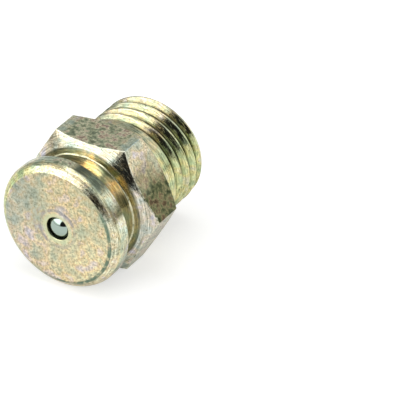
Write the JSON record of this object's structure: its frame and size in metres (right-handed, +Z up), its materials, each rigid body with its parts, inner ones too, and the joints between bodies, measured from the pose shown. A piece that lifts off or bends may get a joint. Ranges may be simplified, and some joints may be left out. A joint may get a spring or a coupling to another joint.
{
  "type": "grease nipple",
  "caption": "Button-head grease nipple: flat round coupling head, grooved neck, hexagon and right-hand threaded shank, with a sprung ball check valve in the bore.",
  "frame": {"origin": "on the fitting's axis, in the plane of the seat face behind the hexagon", "axes": "+Y along the axis, from the coupling head to the threaded end; +Z up, square to the hexagon flat opposite the one that the fitting lies on; X across the hexagon's corners"},
  "size_m": [0.0184, 0.0208, 0.016],
  "materials": {
    "plated_steel": "turned steel, zinc plated and yellow passivated, mottled",
    "ball_steel": "polished bearing steel",
    "spring_steel": "bright drawn wire",
    "pressed_steel": "pressed sheet steel"
  },
  "bodies": {
    "fitting": {"nipple_body": "plated_steel", "valve_spring": "spring_steel", "spring_retainer": "pressed_steel"},
    "ball": {"check_ball": "ball_steel"}
  },
  "joints": [
    {"name": "ball_lift", "type": "slide", "parent": "fitting", "child": "ball", "axis": [0, 1, 0], "range_m": [0, 0.0015], "stiffness_N_per_m": 2300, "springref_m": -0.001, "deforming": ["valve_spring"]}
  ]
}
